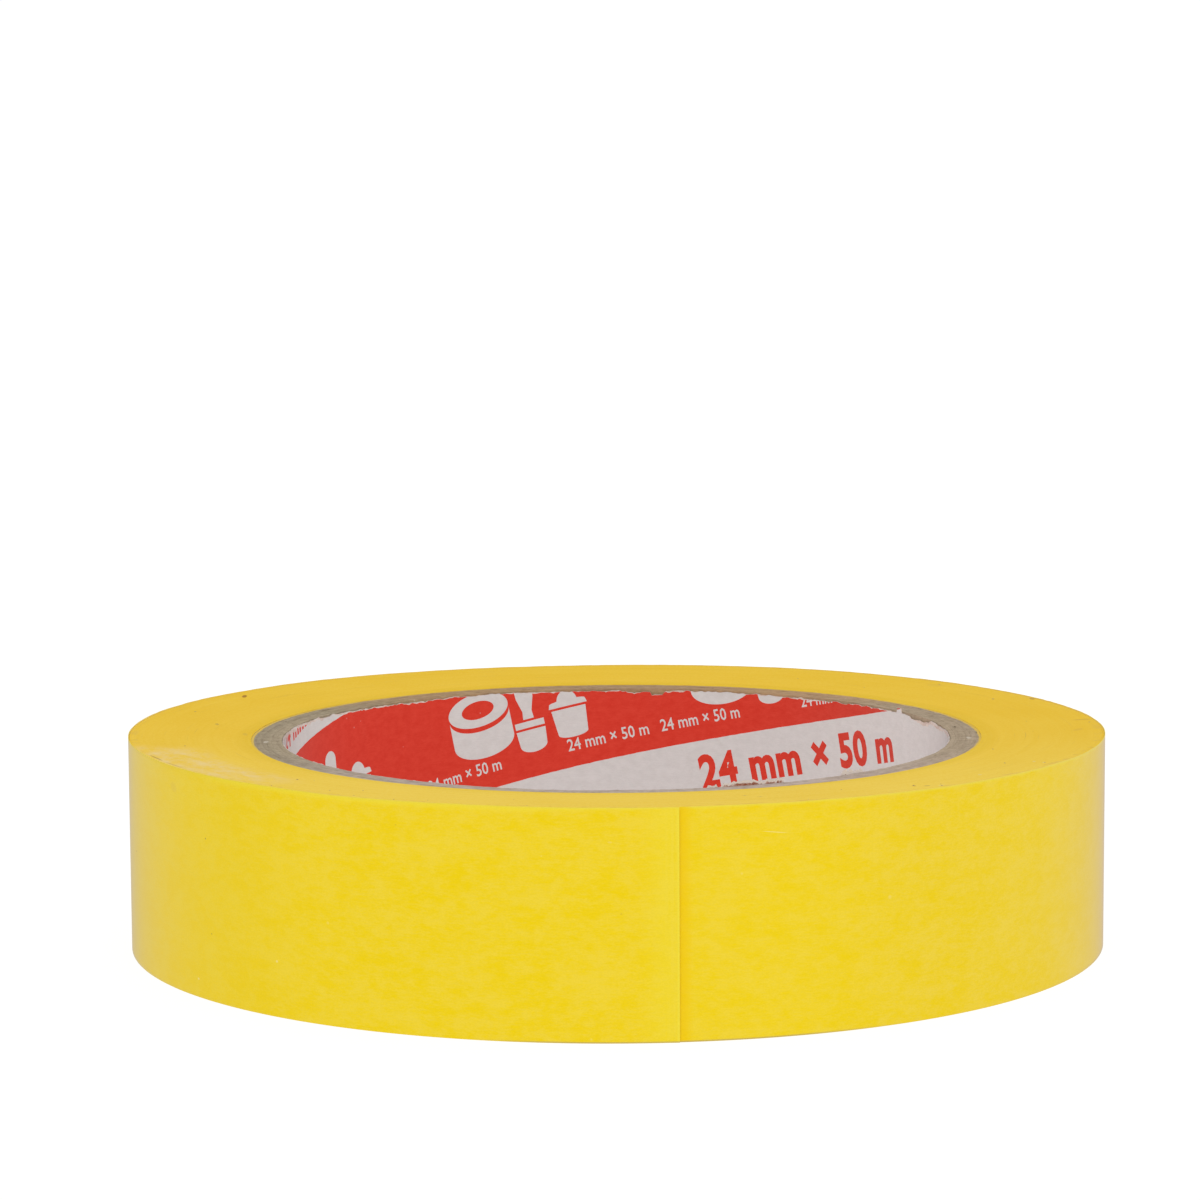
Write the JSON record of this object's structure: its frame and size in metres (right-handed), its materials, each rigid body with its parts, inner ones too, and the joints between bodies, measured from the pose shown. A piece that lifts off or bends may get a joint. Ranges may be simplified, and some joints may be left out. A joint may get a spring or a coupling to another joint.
{
  "type": "masking tape roll",
  "caption": "Roll of yellow washi masking tape wound on a paperboard core with a printed liner, its free end peeling off the outside in a curl.",
  "frame": {"origin": "on the roll's axis, at the face it rests on", "axes": "+Z along the roll's axis, upwards; -Y towards the front, where the strip's cut end lies 6.5 degrees round towards +X"},
  "size_m": [0.1109, 0.1109, 0.024],
  "materials": {
    "tape_paper": "matte",
    "core_board": "matte",
    "liner_print": "satin"
  },
  "bodies": {
    "roll": {"printed_liner": "liner_print", "core_ply_1": "core_board", "core_ply_2": "core_board", "core_ply_3": "core_board", "core_ply_4": "core_board", "core_ply_5": "core_board", "core_ply_6": "core_board", "tape_winding": "tape_paper", "tape_outer_lap": "tape_paper"},
    "end_root": {"tape_end_root": "tape_paper"},
    "end_middle": {"tape_end_middle": "tape_paper"},
    "end_tip": {"tape_end_tip": "tape_paper"}
  },
  "joints": [
    {"name": "peel", "type": "hinge", "parent": "roll", "child": "end_root", "pos_m": [-0.02213, -0.05089, 0.012], "axis": [0, 0, -1], "range_deg": [0, 110]},
    {"name": "curl_middle", "type": "hinge", "parent": "end_root", "child": "end_middle", "pos_m": [-0.01106, -0.05438, 0.012], "axis": [0, 0, -1], "range_deg": [0, 33]},
    {"name": "curl_tip", "type": "hinge", "parent": "end_middle", "child": "end_tip", "pos_m": [-0.00242, -0.05544, 0.012], "axis": [0, 0, -1], "range_deg": [0, 27.5]}
  ],
  "couplings": [
    {"joint": "curl_middle", "follows": "peel", "ratio": 0.3},
    {"joint": "curl_tip", "follows": "peel", "ratio": 0.25}
  ]
}
